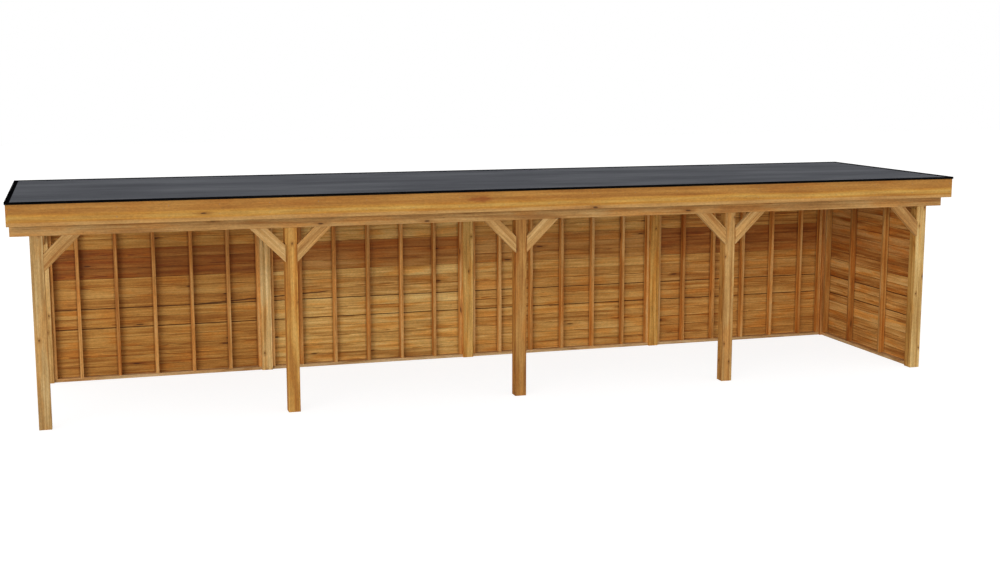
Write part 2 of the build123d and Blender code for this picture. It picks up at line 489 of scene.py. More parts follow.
# %% Wood
HEART_RED = (0.58, 0.37, 0.25, 1.0)
# Painted shade for faces turned sideways: darker and warmer than the front.
SIDE_FACE_SHADE = (0.98, 0.84, 0.60, 1.0)
HALO_WARMTH = 0.45
HALO_DARKNESS = 0.30
CORE_DARKNESS = 0.85
CRACK_DARKNESS = 0.7
WOOD_SHINE = 0.22
WOOD_ROUGHNESS = (0.72, 0.55)
FIBRE_HEIGHT = 0.6
LATE_HEIGHT = 0.5
CRACK_HEIGHT = -2.0
WOOD_RELIEF = dict(strength=0.35, distance=0.0009)


def wood(name, grain, tones, seed, heart=None, board=None, pieces=None, knot=PLANK_KNOTS, streak=1.0,
         warm=0.6, own_tone=0.3, mirror=False, bands=None, marks=None, side=None):
    finish = Finish(name)
    if mirror:
        finish.place = finish.vector("ABSOLUTE", finish.place)
    turned = finish.node("Mapping", {"Vector": finish.place, "Rotation": GRAIN[grain]}).outputs["Vector"]
    spot, own = log_place(finish, turned, seed, pieces)
    late = rings(finish, spot, *from_heart(finish, turned, own, heart, board))
    colour = ground_colour(finish, spot, own, late, tones, streak, own_tone, warm)

    # Painted shade: faces turned along the side axis are made darker and warmer than the front.
    if side is not None:
        facing = finish.apart(finish.node("TexCoord").outputs["Normal"])[side]
        colour = finish.tint(finish.calc("ABSOLUTE", facing), colour, SIDE_FACE_SHADE)
    if bands is not None:
        colour = bands(finish, colour, spot)
    if pieces == "attribute":
        red = finish.node("Attribute", attribute_name="piece_tint").outputs["Fac"]
        colour = finish.tint(red, colour, HEART_RED)
    fibres = finish.noise(spot, FIBRES, roughness=0.6)
    colour = finish.tint(1.0, colour, fine_light(finish, spot, fibres))

    core, halo = knots(finish, spot, **knot)
    colour = finish.tint(finish.times(halo, HALO_WARMTH), colour, WARM)
    colour = darken_toward_knot(finish, colour, halo, HALO_DARKNESS)
    colour = darken_toward_knot(finish, colour, core, CORE_DARKNESS)
    crack = cracks(finish, spot)
    colour = darken_toward_knot(finish, colour, crack, CRACK_DARKNESS)
    if marks is not None:
        colour = marks(finish, colour)

    finish.give("Base Color", colour)
    finish.give("Specular IOR Level", WOOD_SHINE)
    finish.give("Roughness", finish.fade(late, 0.0, 1.0, *WOOD_ROUGHNESS, soft=False))
    height = finish.calc("MULTIPLY_ADD", fibres, FIBRE_HEIGHT, finish.times(late, LATE_HEIGHT))
    height = finish.calc("MULTIPLY_ADD", crack, CRACK_HEIGHT, height)
    finish.bump(height, **WOOD_RELIEF)
    return finish.material


print("wood shines at", WOOD_SHINE, "and is rough from", min(WOOD_ROUGHNESS), "to", max(WOOD_ROUGHNESS))

# %% [markdown]
# A timber from the frame keeps its shape and only takes a finish. Planed timber never has knife
# edges. Posts, beams and braces come with eased edges, and the studs, plates and rafters get them
# here: a weld joins the loose triangles, and a small bevel follows. Both are modifiers, so the
# frame's own mesh isn't touched.

# %% Dress a timber
ARRIS = 0.0025
CORNER_ANGLE = math.radians(40)


def dress(node_name, material):
    piece = nodes[node_name]
    piece.data.materials.clear()
    piece.data.materials.append(material)
    return piece


def ease_edges(piece):
    weld = piece.modifiers.new("weld", "WELD")
    weld.merge_threshold = WELD
    bevel = piece.modifiers.new("ease", "BEVEL")
    bevel.width = ARRIS
    bevel.segments = 2
    bevel.limit_method = "ANGLE"
    bevel.angle_limit = CORNER_ANGLE


print("edges are eased by", ARRIS * 1000, "mm")

# %% [markdown]
# The posts are logs squared with the heart inside, so their faces show straight lines near the
# edges and arches in the middle. With one material all ten would be copies. Each gets its own log,
# and they differ in warmth. The back posts stand in the shade of the roof, and their tints paint
# light on them, so they look much lighter than the front ones. The left and right faces of all posts
# get painted shade, a little darker and warmer than the front.

# %% Posts
POST_TONES = {
    "pale": (shade(146, 102, 50), shade(184, 144, 88), shade(208, 174, 120)),
    "amber": (shade(146, 88, 32), shade(182, 128, 58), shade(204, 156, 86)),
    "russet": (shade(130, 80, 32), shade(168, 120, 60), shade(194, 150, 88)),
    "straw": (shade(140, 94, 42), shade(178, 132, 72), shade(204, 162, 100)),
}
FRONT_POSTS = (
    ("pale", (0.97, 1.02, 1.05)),
    ("amber", (1.08, 1.15, 1.16)),
    ("russet", (1.05, 1.05, 1.02)),
    ("straw", (1.03, 1.08, 1.18)),
    ("pale", (1.08, 1.14, 1.08)),
)
# Painted light: these tints make the back posts, in the shade of the roof, much lighter.
BACK_POSTS_PAINTED_LIGHTER = (
    ("pale", (1.38, 1.43, 1.40)),
    ("pale", (1.58, 1.76, 1.92)),
    ("straw", (1.58, 1.76, 1.66)),
    ("amber", (1.42, 1.60, 1.68)),
    ("russet", (1.28, 1.20, 1.28)),
)
for side, posts, first_seed in (("front", FRONT_POSTS, 1), ("back", BACK_POSTS_PAINTED_LIGHTER, 8)):
    for number, (choice, tint) in enumerate(posts, start=1):
        name = f"{side}_post_{number}"
        post_wood = wood(
            name + "_wood", "upright", tinted(POST_TONES[choice], tint), first_seed + number,
            heart_of(name, "upright"), knot=POST_KNOTS, streak=0.85, side="X",
        )
        dress(name, post_wood)
    print(len(posts), side, "posts dressed")

# %% [markdown]
# The ring beam lies in the notches of the posts, and short braces stiffen the corners at 45
# degrees. The grain of a brace has to run up its slope, so the pattern is turned with it. The two
# braces of the open left end are one node and mirror each other. Their pattern is mirrored too, by
# dropping the sign of each place.

# %% Beams and braces
BEAM_TONES = (shade(156, 108, 56), shade(188, 142, 82), shade(212, 172, 112))
BRACE_TONES = (shade(150, 102, 50), shade(188, 144, 84), shade(218, 182, 124))
BEAM_GRAINS = {
    "front_beam": "along_x",
    "back_beam": "along_x",
    "left_beam": "along_y",
    "right_beam": "along_y",
}
for seed, (name, grain) in enumerate(BEAM_GRAINS.items(), start=21):
    heart = heart_of(name, grain)
    dress(name, wood(name + "_wood", grain, BEAM_TONES, seed, heart, knot=BEAM_KNOTS, streak=0.8))

brace_names = [name for name in sorted(nodes) if name.startswith("front_brace_")]
for name in brace_names:
    number, side = name.split("_")[2:]
    grain = "rising_" + side
    seed = 30 + int(number) + (0.5 if side == "left" else 0.0)
    heart = heart_of(name, grain)
    dress(name, wood(name + "_wood", grain, BRACE_TONES, seed, heart, streak=0.85, warm=0.35))
dress("side_braces", wood("side_brace_wood", "side_brace", BRACE_TONES, 41, mirror=True))
print(len(BEAM_GRAINS), "beams and", len(brace_names), "front braces dressed")

# %% [markdown]
# The studs stand between a bottom and a top plate. Each node of studs is dressed once, and the
# number of each stud gives it its own tone. The studs of the end wall are darker, and the side
# faces of all studs get the same painted shade as the posts.

# %% Wall framing and rafters
STUD_TONES = (shade(166, 104, 44), shade(206, 148, 78), shade(230, 184, 118))
PLATE_TONES = (shade(172, 128, 76), shade(204, 168, 118), shade(224, 192, 146))
RAFTER_TONES = (shade(140, 94, 46), shade(172, 126, 72), shade(198, 158, 104))
END_STUD_TINT = (0.74, 0.74, 0.74)
BAYS = (1, 2, 3, 4)

bay_studs = {bay: timber_boxes(f"back_wall_studs_{bay}") for bay in BAYS}
end_studs = timber_boxes("right_wall_studs")
for bay, boxes in bay_studs.items():
    name = f"back_wall_studs_{bay}"
    stud_wood = wood(
        name + "_wood", "upright", STUD_TONES, 50 + bay, pieces=("X", boxes), side="X", own_tone=0.35,
    )
    ease_edges(dress(name, stud_wood))
end_tones = tinted(STUD_TONES, END_STUD_TINT)
end_stud_wood = wood("right_stud_wood", "upright", end_tones, 55, pieces=("Y", end_studs), side="Y")
ease_edges(dress("right_wall_studs", end_stud_wood))
ease_edges(dress("back_wall_plates", wood("back_plate_wood", "along_x", PLATE_TONES, 56)))
ease_edges(dress("right_wall_plates", wood("right_plate_wood", "along_y", PLATE_TONES, 57)))
rafter_wood = wood("rafter_wood", "along_y", RAFTER_TONES, 58, pieces=("X", rafter_boxes))
ease_edges(dress("rafters", rafter_wood))
print([len(boxes) for boxes in bay_studs.values()], "studs in the bays,", len(end_studs), "in the end wall")

# %% [markdown]
# The fascia was sawn near the bark: orange heartwood fills its upper part, a yellow band lies
# below it, and pale pinkish sapwood runs along the lower edge. Three painted stripes would look
# ruled, so the zones are one row of tints over the board's height, and slow noise makes their
# borders wander.

# %% Fascia zones
SAPWOOD = (1.08, 1.20, 1.55, 1.0)
GOLD = (1.06, 0.98, 0.60, 1.0)
YELLOW_BAND = (1.16, 1.30, 1.16, 1.0)
HEARTWOOD = (0.86, 0.76, 0.58, 1.0)
ZONES = (
    (0.10, SAPWOOD), (0.20, GOLD), (0.30, YELLOW_BAND), (0.36, YELLOW_BAND), (0.44, GOLD), (0.54, HEARTWOOD),
)
BORDER_STRETCH = (0.5, 3.0, 3.0)
BORDER_WANDER = 0.05
fascia_low, fascia_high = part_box("fascia_ends")


def fascia_zones(finish, parts, spot):
    height = finish.swing(finish.noise(spot, BORDER_STRETCH), BORDER_WANDER, parts["Z"])
    return finish.row(finish.fade(height, fascia_low.z, fascia_high.z, soft=False), ZONES)


print("fascia from", round(fascia_low.z, 3), "to", round(fascia_high.z, 3), "m")

# %% [markdown]
# Where a branch was near, the grain swirls in a dark oval with a ragged rim, near the middle of
# the long boards. Turning the rings round it would be truest, but from a few steps away only the
# oval shows, so its colour is mixed over the zones.

# %% Fascia
FASCIA_GRAINS = {"fascia_front_and_back": "along_x", "fascia_ends": "along_y"}
FASCIA_TONES = (shade(152, 100, 44), shade(178, 130, 66), shade(198, 154, 88))
SWIRL = {"X": -0.62, "Z": 2.655}
SWIRL_REACH = {"X": 0.13, "Z": 0.034}
SWIRL_STRETCH = (12.0, 9.0, 60.0)
SWIRL_RAGGED = 3.0
SWIRL_RIM = (0.2, 2.0)
SWIRL_DARKNESS = 0.9
SWIRL_TONE = shade(142, 80, 30)


def swirl(finish, parts):
    """Dark in the middle of the oval, fading out at its ragged rim."""
    squares = []
    for axis in SWIRL:
        side = finish.calc("DIVIDE", finish.calc("SUBTRACT", parts[axis], SWIRL[axis]), SWIRL_REACH[axis])
        squares.append(finish.times(side, side))
    ragged = finish.noise(finish.place, SWIRL_STRETCH, detail=3.0)
    away = finish.swing(ragged, SWIRL_RAGGED, finish.calc("ADD", *squares))
    return finish.fade(away, *SWIRL_RIM, SWIRL_DARKNESS, 0.0)


def fascia_bands(finish, colour, spot):
    parts = finish.apart(finish.place)
    colour = finish.tint(1.0, colour, fascia_zones(finish, parts, spot))
    return finish.mix(swirl(finish, parts), colour, SWIRL_TONE)


for seed, (name, grain) in enumerate(FASCIA_GRAINS.items(), start=61):
    fascia_wood = wood(
        name + "_wood", grain, FASCIA_TONES, seed,
        knot=FASCIA_KNOTS, streak=0.55, warm=0.25, bands=fascia_bands,
    )
    dress(name, fascia_wood)
    print(name, "dressed")

# %% [markdown]
# A scaled cube would do for a plain board, but these have a rebate or a V. So the outline of the
# board's end is filled, pushed along the length and eased along the long edges. Many boards share
# one mesh, and each remembers two numbers, its seed and its share of red heartwood, which the wood
# reads as attributes.

# %% One board
PARALLEL = 0.99


def piece_layers(mesh):
    return mesh.faces.layers.float.new("piece_seed"), mesh.faces.layers.float.new("piece_tint")


def add_board(mesh, layers, corners, along, seed, tint, ease):
    """Fills the outline, pushes it along, and eases its long edges."""
    old_faces = set(mesh.faces)
    outline = mesh.faces.new([mesh.verts.new(corner) for corner in corners])
    pushed = bmesh.ops.extrude_face_region(mesh, geom=[outline])
    moved = [item for item in pushed["geom"] if isinstance(item, bmesh.types.BMVert)]
    bmesh.ops.translate(mesh, verts=moved, vec=along)
    faces = [face for face in mesh.faces if face not in old_faces]
    direction = along.normalized()
    long_edges = [
        edge
        for edge in {edge for face in faces for edge in face.edges}
        if abs((edge.verts[0].co - edge.verts[1].co).normalized().dot(direction)) > PARALLEL
    ]
    long_edges.sort(key=lambda edge: tuple(edge.verts[0].co) + tuple(edge.verts[1].co))
    bmesh.ops.bevel(mesh, geom=long_edges, offset=ease, affect="EDGES", segments=1, profile=0.5, material=-1)
    faces = [face for face in mesh.faces if face not in old_faces]
    bmesh.ops.recalc_face_normals(mesh, faces=faces)
    for face in faces:
        face[layers[0]] = seed
        face[layers[1]] = tint


print("boards carry piece_seed and piece_tint")

# %% [markdown]
# A finished mesh becomes an object here. It rides on the frame's one body, and hides the plain
# panel that it stands in for. The object stays at the origin, with its place in its mesh, as the
# frame's own pieces have it.

# %% Make a piece
def make_piece(name, mesh, material, replaced=()):
    data = bpy.data.meshes.new(name)
    mesh.to_mesh(data)
    mesh.free()
    data.materials.append(material)
    piece = bpy.data.objects.new(name, data)
    bpy.context.scene.collection.objects.link(piece)
    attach(piece, "root")
    if replaced:
        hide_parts(*replaced)
    print(name, len(data.polygons), "faces")
    return piece


print("pieces ride on the body root")

# %% [markdown]
# The walls are clad with rebated boards. Each is thick along its lower edge and thin along its
# upper one, and its rebate hooks over the board below, so rain runs off the outside, while inside
# only a dark joint shows. Lines on a flat panel would be cheaper, but real joints catch the light
# and show at the ends. Two joints of each wall have opened as the wood dried.

# %% Cladding boards
BOARD_ROWS = 17
BOARD_LAP = 0.024
BOARD_TOP_THICK = 0.008
BOARD_PLAY = 0.0005
BOARD_EASE = 0.0015
BOARD_FLAT = 0.018
JOINT = 0.0025
WIDE_JOINT = 0.013
WIDE_JOINT_ROWS = (5, 7)
cladding_low, cladding_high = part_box("back_wall_cladding_1")
board_low = cladding_low.z
board_pitch = (cladding_high.z - cladding_low.z) / BOARD_ROWS


def board_outline(bottom, thick, top, joint):
    """(depth out from the studs, height) points of one board's end, from the rebate round."""
    lap_top = min(bottom + board_pitch + BOARD_LAP - joint, top)
    return [
        (0.0, bottom + BOARD_LAP),
        (BOARD_TOP_THICK + BOARD_PLAY, bottom + BOARD_LAP),
        (BOARD_TOP_THICK + BOARD_PLAY, bottom),
        (thick, bottom),
        (thick, bottom + BOARD_FLAT),
        (BOARD_TOP_THICK, lap_top),
        (0.0, lap_top),
    ]


print(BOARD_ROWS, "rows of", round(board_pitch * 1000), "mm")

# %% [markdown]
# A loop lays the rows. The lowest board has no rebate below, and the highest one ends at the top
# of the panel. A little chance in the share of red keeps the rows from looking sorted, and the
# dice start from a fixed seed, so each run lays the same boards.

# %% Rows of boards
TINT_SPREAD = (-0.06, 0.10)
dice = random.Random(7)


def clad(name, node_name, run, out, material, red_rows):
    """Boards in rows over the node's box, running along one axis and facing out along another."""
    low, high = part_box(node_name)
    thick = (high - low).dot(out)
    mesh = bmesh.new()
    layers = piece_layers(mesh)
    for row in range(BOARD_ROWS):
        joint = WIDE_JOINT if row + 1 in WIDE_JOINT_ROWS else JOINT
        outline = board_outline(low.z + row * board_pitch, thick, high.z, joint)
        if row == 0:
            outline = [(0.0, low.z), (thick, low.z)] + outline[4:]
        start = run * low.dot(run) + out * low.dot(out)
        corners = [start + out * depth + AXES["Z"] * height for depth, height in outline]
        tint = max(0.0, min(1.0, red_rows.get(row, 0.0) + dice.uniform(*TINT_SPREAD)))
        add_board(mesh, layers, corners, run * (high - low).dot(run), dice.random(), tint, BOARD_EASE)
    return make_piece(name, mesh, material, [node_name])


print("red varies by", TINT_SPREAD)

# %% [markdown]
# Beside each stud less light reaches the boards, least on its left side. The lamps alone would
# shade them too softly, so the shades are a row of greys along the wall, worked out from the
# studs' boxes.

# %% Shade beside the studs
LEFT_SHADE = 0.5
RIGHT_SHADE = 0.85
STUD_SHADE_REACH = 0.03
WALL_MARGIN = 0.2


def stud_shades(finish, parts, run_axis, boxes):
    first = boxes[0][0].dot(AXES[run_axis]) - WALL_MARGIN
    last = boxes[-1][1].dot(AXES[run_axis]) + WALL_MARGIN
    stops = []
    for low, high in boxes:
        left, right = low.dot(AXES[run_axis]), high.dot(AXES[run_axis])
        greys = (
            (left - STUD_SHADE_REACH, 1.0),
            (left, LEFT_SHADE),
            (right, RIGHT_SHADE),
            (right + STUD_SHADE_REACH, 1.0),
        )
        stops += [((place - first) / (last - first), grey(value)) for place, value in greys]
    return finish.row(finish.fade(parts[run_axis], first, last, soft=False), stops)


print("each stud shades", STUD_SHADE_REACH * 1000, "mm of board")

# %% [markdown]
# One long drying split runs at a slight slant across the first two bays, over the inner faces. It
# could be cut into the mesh, but it is as thin as a crack, so a dark line with a wandering middle
# and tapered ends is enough.

# %% Drying split
SPLIT_START = (-4.05, 0.982)
SPLIT_END = (-2.01, 1.09)
SPLIT_HALF_WIDTH = 0.013
SPLIT_CORE = 0.3
SPLIT_TAPER = 0.15
SPLIT_STRETCH = (7.0, 0.0, 0.0)
SPLIT_WANDER = 0.02
SPLIT_BAYS = (1, 2)
split_slope = (SPLIT_END[1] - SPLIT_START[1]) / (SPLIT_END[0] - SPLIT_START[0])
split_height = SPLIT_START[1] - split_slope * SPLIT_START[0]


def split_gap(finish, parts):
    """1 in the middle of the split, 0 away from it."""
    line = finish.calc("MULTIPLY_ADD", parts["X"], split_slope, split_height)
    line = finish.swing(finish.noise(finish.place, SPLIT_STRETCH, detail=3.0), SPLIT_WANDER, line)
    away = finish.calc("ABSOLUTE", finish.calc("SUBTRACT", parts["Z"], line))
    gap = finish.fade(away, SPLIT_HALF_WIDTH * SPLIT_CORE, SPLIT_HALF_WIDTH, 1.0, 0.0)
    begun = finish.fade(parts["X"], SPLIT_START[0], SPLIT_START[0] + SPLIT_TAPER)
    unended = finish.fade(parts["X"], SPLIT_END[0] - SPLIT_TAPER, SPLIT_END[0], 1.0, 0.0)
    return finish.times(gap, finish.times(begun, unended))


print("the split is", round(math.dist(SPLIT_START, SPLIT_END), 2), "m long")

# %% [markdown]
# The marks of a wall are put together by depth behind the studs' plane. On the inner face lie the
# shades of the studs and the split. Just behind it, in the joints, a painted shade darkens the
# boards. On the outer face each board has a dark line of painted shade right under the lip of the
# board above it.

# %% Wall marks
# Painted shade in the joints between boards; the split is darkened by the same amount.
JOINT_SHADE_AND_SPLIT_DARKNESS = 0.88
INNER_SKIN = (0.001, 0.003)
OUTER_SKIN = (BOARD_TOP_THICK + 0.001, BOARD_TOP_THICK + 0.0016)
LAP_SHADE = 0.4
LAP_SHADE_REACH = (0.88, 0.985)


def wall_marks(out_axis, inner, run_axis, boxes, split=False):
    """Returns a function that paints shade into the joints, beside the studs and under the laps, and darkens
    the split.
    """
    def mark(finish, colour):
        parts = finish.apart(finish.place)
        depth = finish.calc("SUBTRACT", parts[out_axis], inner)
        behind = finish.fade(depth, *INNER_SKIN)
        in_joint = finish.times(behind, finish.fade(depth, *OUTER_SKIN, 1.0, 0.0))
        # Painted shade in the joints, just behind the inner face.
        colour = darken_toward_knot(finish, colour, in_joint, JOINT_SHADE_AND_SPLIT_DARKNESS)
        if split:
            gap = finish.times(split_gap(finish, parts), finish.calc("SUBTRACT", 1.0, behind))
            colour = darken_toward_knot(finish, colour, gap, JOINT_SHADE_AND_SPLIT_DARKNESS)
        row_part = finish.part_of_row(parts["Z"], board_low, board_pitch)
        lap_shade = finish.as_colour(finish.fade(row_part, *LAP_SHADE_REACH, 1.0, LAP_SHADE))
        shades = finish.mix(behind, stud_shades(finish, parts, run_axis, boxes), grey(1.0))
        shades = finish.mix(finish.fade(depth, *OUTER_SKIN), shades, lap_shade)
        return finish.tint(1.0, colour, shades)

    return mark


print("joints are dark from", INNER_SKIN[1] * 1000, "to", round(OUTER_SKIN[0] * 1000, 1), "mm deep")

# %% [markdown]
# Now the walls. Each bay was boarded from its own stack of timber, so it has its own tint, and its
# band of red heartwood at head height is stronger or weaker. The tints are partly painted light too:
# bays 2 to 4, farther from the open left end, are made lighter than the first. Row 0 is the lowest.

# %% Clad the walls
CLADDING_TONES = (shade(150, 98, 40), shade(194, 148, 78), shade(214, 178, 110))
# Partly the bays' own timber, partly painted light: bays 2 to 4 are made lighter than the first.
BAY_TINTS_AND_PAINTED_LIGHT = ((1.0, 0.88, 0.70), (1.34, 1.44, 1.55), (1.18, 1.13, 1.06), (1.12, 1.01, 0.90))
END_WALL_TINT = (1.20, 1.11, 1.10)
COMMON_RED = {8: 0.12, 7: 0.2, 5: 0.08, 0: 0.12}
BAY_REDS = (
    {**COMMON_RED, 12: 0.72, 11: 0.78, 10: 0.65},
    {**COMMON_RED, 12: 1.0, 11: 1.0, 10: 0.75},
    {**COMMON_RED, 12: 0.4, 11: 0.5, 10: 0.45},
    {**COMMON_RED, 12: 0.9, 11: 0.95, 10: 0.8},
)
END_WALL_RED = {
    16: 0.4, 15: 0.5, 14: 0.35, 13: 0.4, 12: 0.5, 11: 0.65, 10: 0.4,
    9: 0.45, 8: 0.2, 7: 0.2, 6: 0.2, 5: 0.1, 4: 0.15,
}
board_rows = ("Z", board_low, board_pitch)
for bay, tint, reds in zip(BAYS, BAY_TINTS_AND_PAINTED_LIGHT, BAY_REDS):
    cladding_wood = wood(
        f"cladding_wood_{bay}", "along_x", tinted(CLADDING_TONES, tint), 70 + bay,
        board=board_rows, pieces="attribute", streak=0.7, warm=0.7, own_tone=0.25,
        marks=wall_marks("Y", cladding_low.y, "X", bay_studs[bay], bay in SPLIT_BAYS),
    )
    boards, panel = f"back_wall_boards_{bay}", f"back_wall_cladding_{bay}"
    clad(boards, panel, AXES["X"], AXES["Y"], cladding_wood, reds)

right_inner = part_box("right_wall_cladding")[0].x
end_cladding_wood = wood(
    "end_cladding_wood", "along_y", tinted(CLADDING_TONES, END_WALL_TINT), 76,
    board=board_rows, pieces="attribute", warm=0.9, own_tone=0.4,
    marks=wall_marks("X", right_inner, "Y", end_studs),
)
clad("right_wall_boards", "right_wall_cladding", AXES["Y"], AXES["X"], end_cladding_wood, END_WALL_RED)

# %% [markdown]
# Under the roof the rafters carry a deck of planed boards with small V joints. They run the length
# of the veranda, in lengths that meet over rafters. If all of them met over the same rafter the
# deck would be weak there, so the end joints are staggered row by row.

# %% Roof board layout
DECK_ROWS = 24
DECK_SPANS = 7
DECK_STAGGER = 3
DECK_JOINT = 0.001
DECK_V = 0.006
deck_low, deck_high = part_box("roof_deck")
rafter_middles = [(low.x + high.x) / 2 for low, high in rafter_boxes]
row_pitch = (deck_high.y - deck_low.y) / DECK_ROWS


def deck_outline(near, far):
    """(y, z) points of one deck board's end, with the V on both lower edges."""
    return [
        (near, deck_low.z + DECK_V),
        (near + DECK_V, deck_low.z),
        (far - DECK_V, deck_low.z),
        (far, deck_low.z + DECK_V),
        (far, deck_high.z),
        (near, deck_high.z),
    ]


def deck_ends(row):
    """Where the boards of a row start and stop, from left to right."""
    over = (row * DECK_STAGGER) % DECK_SPANS
    breaks = [middle for index, middle in enumerate(rafter_middles[1:-1]) if index % DECK_SPANS == over]
    return [deck_low.x, *breaks, deck_high.x]


print(DECK_ROWS, "rows of", round(row_pitch * 1000), "mm, the first from", len(deck_ends(0)) - 1, "boards")

# %% [markdown]
# The rows are laid with the same helper as the walls. Each board is a little shorter and narrower
# than its place, so that a fine joint stays open all round it.

# %% Roof boards
DECK_EASE = 0.0006
DECK_RED = 0.2
DECK_TONES = (shade(150, 104, 54), shade(184, 140, 86), shade(206, 168, 116))
mesh = bmesh.new()
layers = piece_layers(mesh)
for row in range(DECK_ROWS):
    near = deck_low.y + row * row_pitch + DECK_JOINT / 2
    outline = deck_outline(near, near + row_pitch - DECK_JOINT)
    ends = deck_ends(row)
    for start, stop in zip(ends, ends[1:]):
        corners = [Vector((start + DECK_JOINT / 2, y, z)) for y, z in outline]
        along = Vector((stop - start - DECK_JOINT, 0, 0))
        seed = dice.random()
        add_board(mesh, layers, corners, along, seed, max(0.0, dice.uniform(-DECK_RED, DECK_RED)), DECK_EASE)
deck_rows = ("Y", deck_low.y, row_pitch)
deck_wood = wood("deck_wood", "along_x", DECK_TONES, 81, board=deck_rows, pieces="attribute")
make_piece("roof_boards", mesh, deck_wood, ["roof_deck"])

# %% [markdown]
# Steel screws hold the boards. One plain grey would look like plastic, so the metal is weathered
# and a fine noise makes it brighter and rougher in spots.

# %% Screw steel
STEEL_STOPS = ((0.3, shade(112, 106, 98)), (0.7, shade(146, 140, 132)))
STEEL_ROUGHNESS = (0.32, 0.5)
STEEL_SPOTS = (300.0, 300.0, 300.0)

steel = Finish("screw_steel")
steel_spots = steel.noise(steel.place, STEEL_SPOTS)
steel.give("Base Color", steel.row(steel_spots, STEEL_STOPS))
steel.give("Roughness", steel.fade(steel_spots, *NOISE_SPAN, *STEEL_ROUGHNESS))
steel.give("Metallic", 1.0)
print("steel is rough from", min(STEEL_ROUGHNESS), "to", max(STEEL_ROUGHNESS))

# %% [markdown]
# One small head is modelled, with its drive recess: a disc is pushed up, and a smaller disc is set
# into its top. A few sides are enough at this size.

# %% A screw head
SCREW_RADIUS = 0.0045
SCREW_HEIGHT = 0.0012
SCREW_RECESS = 0.0018
SCREW_RECESS_DEPTH = SCREW_HEIGHT * 0.7
SCREW_SIDES = 10


def screw_head(out):
    """One head whose underside lies at the origin, facing out."""
    mesh = bmesh.new()
    bmesh.ops.create_circle(mesh, cap_ends=True, segments=SCREW_SIDES, radius=SCREW_RADIUS)
    pushed = bmesh.ops.extrude_face_region(mesh, geom=list(mesh.faces))
    top = [item for item in pushed["geom"] if isinstance(item, bmesh.types.BMFace)]
    rim = [item for item in pushed["geom"] if isinstance(item, bmesh.types.BMVert)]
    bmesh.ops.translate(mesh, verts=rim, vec=(0, 0, SCREW_HEIGHT))
    bmesh.ops.inset_region(mesh, faces=top, thickness=SCREW_RADIUS - SCREW_RECESS)
    bmesh.ops.translate(mesh, verts=list(top[0].verts), vec=(0, 0, -SCREW_RECESS_DEPTH))
    bmesh.ops.recalc_face_normals(mesh, faces=mesh.faces)
    data = bpy.data.meshes.new("screw_head")
    mesh.to_mesh(data)
    mesh.free()
    data.transform(AXES["Z"].rotation_difference(out).to_matrix().to_4x4())
    return data


print("screw heads of", SCREW_RADIUS * 2000, "mm")

# %% [markdown]
# Copied objects would each need a place of their own. So one head is moved from place to place
# instead, and joined into one mesh at each stop. On the walls there is one screw through each
# board at each stud, low enough to miss the board below. The outer face of a board slopes, so each
# head is set back to meet it.

# %% Screws in the walls
SCREW_SINK = 0.0004
SCREW_UP = 0.040


def add_screws(name, groups):
    """groups: (out, places) pairs."""
    mesh = bmesh.new()
    for out, places in groups:
        head = screw_head(out)
        last = Vector((0, 0, 0))
        for place in places:
            head.transform(Matrix.Translation(place - last))
            last = place
            mesh.from_mesh(head)
        bpy.data.meshes.remove(head)
    print(sum(len(places) for _, places in groups), "screws")
    return make_piece(name, mesh, steel.material)


def wall_screws(name, panels, run_axis, out_axis):
    """panels: (node, stud boxes) pairs."""
    out = AXES[out_axis]
    places = []
    for node_name, boxes in panels:
        low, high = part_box(node_name)
        slope_length = board_pitch + BOARD_LAP - JOINT - BOARD_FLAT
        sunk = (SCREW_UP - BOARD_FLAT) / slope_length * ((high - low).dot(out) - BOARD_TOP_THICK)
        face = out * (high.dot(out) - sunk - SCREW_SINK)
        for row in range(BOARD_ROWS):
            height = AXES["Z"] * (low.z + row * board_pitch + SCREW_UP)
            for stud_low, stud_high in boxes:
                middle = ((stud_low + stud_high) / 2).dot(AXES[run_axis])
                places.append(AXES[run_axis] * middle + face + height)
    add_screws(name, [(out, places)])


back_panels = [(f"back_wall_cladding_{bay}", boxes) for bay, boxes in bay_studs.items()]
wall_screws("back_wall_screws", back_panels, "X", "Y")
wall_screws("right_wall_screws", [("right_wall_cladding", end_studs)], "Y", "X")

# %% [markdown]
# The long fascia boards are held by pairs of screws, one above the other, into the rafter ends.

# %% Screws in the fascia
FASCIA_SCREW_ROWS = (0.30, 0.72)
long_low, long_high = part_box("fascia_front_and_back")
heights = [long_low.z + part * (long_high.z - long_low.z) for part in FASCIA_SCREW_ROWS]
spots = [(middle, height) for middle in rafter_middles for height in heights]
front_places = [Vector((x, long_low.y + SCREW_SINK, z)) for x, z in spots]
rear_places = [Vector((x, long_high.y - SCREW_SINK, z)) for x, z in spots]
add_screws("fascia_screws", [(-AXES["Y"], front_places), (AXES["Y"], rear_places)])

# %% [markdown]
# The roof skin is a dark grey rubber sheet. One flat grey would look like a hole in the picture.
# Real rubber is matt, and a little uneven in tone from dust that rain has drawn out, so slow
# clouds and fine grit are mixed.

# %% Roof skin
SHEET_STOPS = ((0.36, shade(58, 60, 66)), (0.5, shade(73, 75, 81)), (0.64, shade(88, 90, 95)))
CLOUDS = (0.5, 1.8, 1.0)
GRIT = (160.0, 160.0, 160.0)
GRIT_SHARE = 0.25
SHEET_ROUGHNESS = 0.8
SHEET_SHINE = 0.06
SHEET_RELIEF = dict(strength=0.3, distance=0.001)

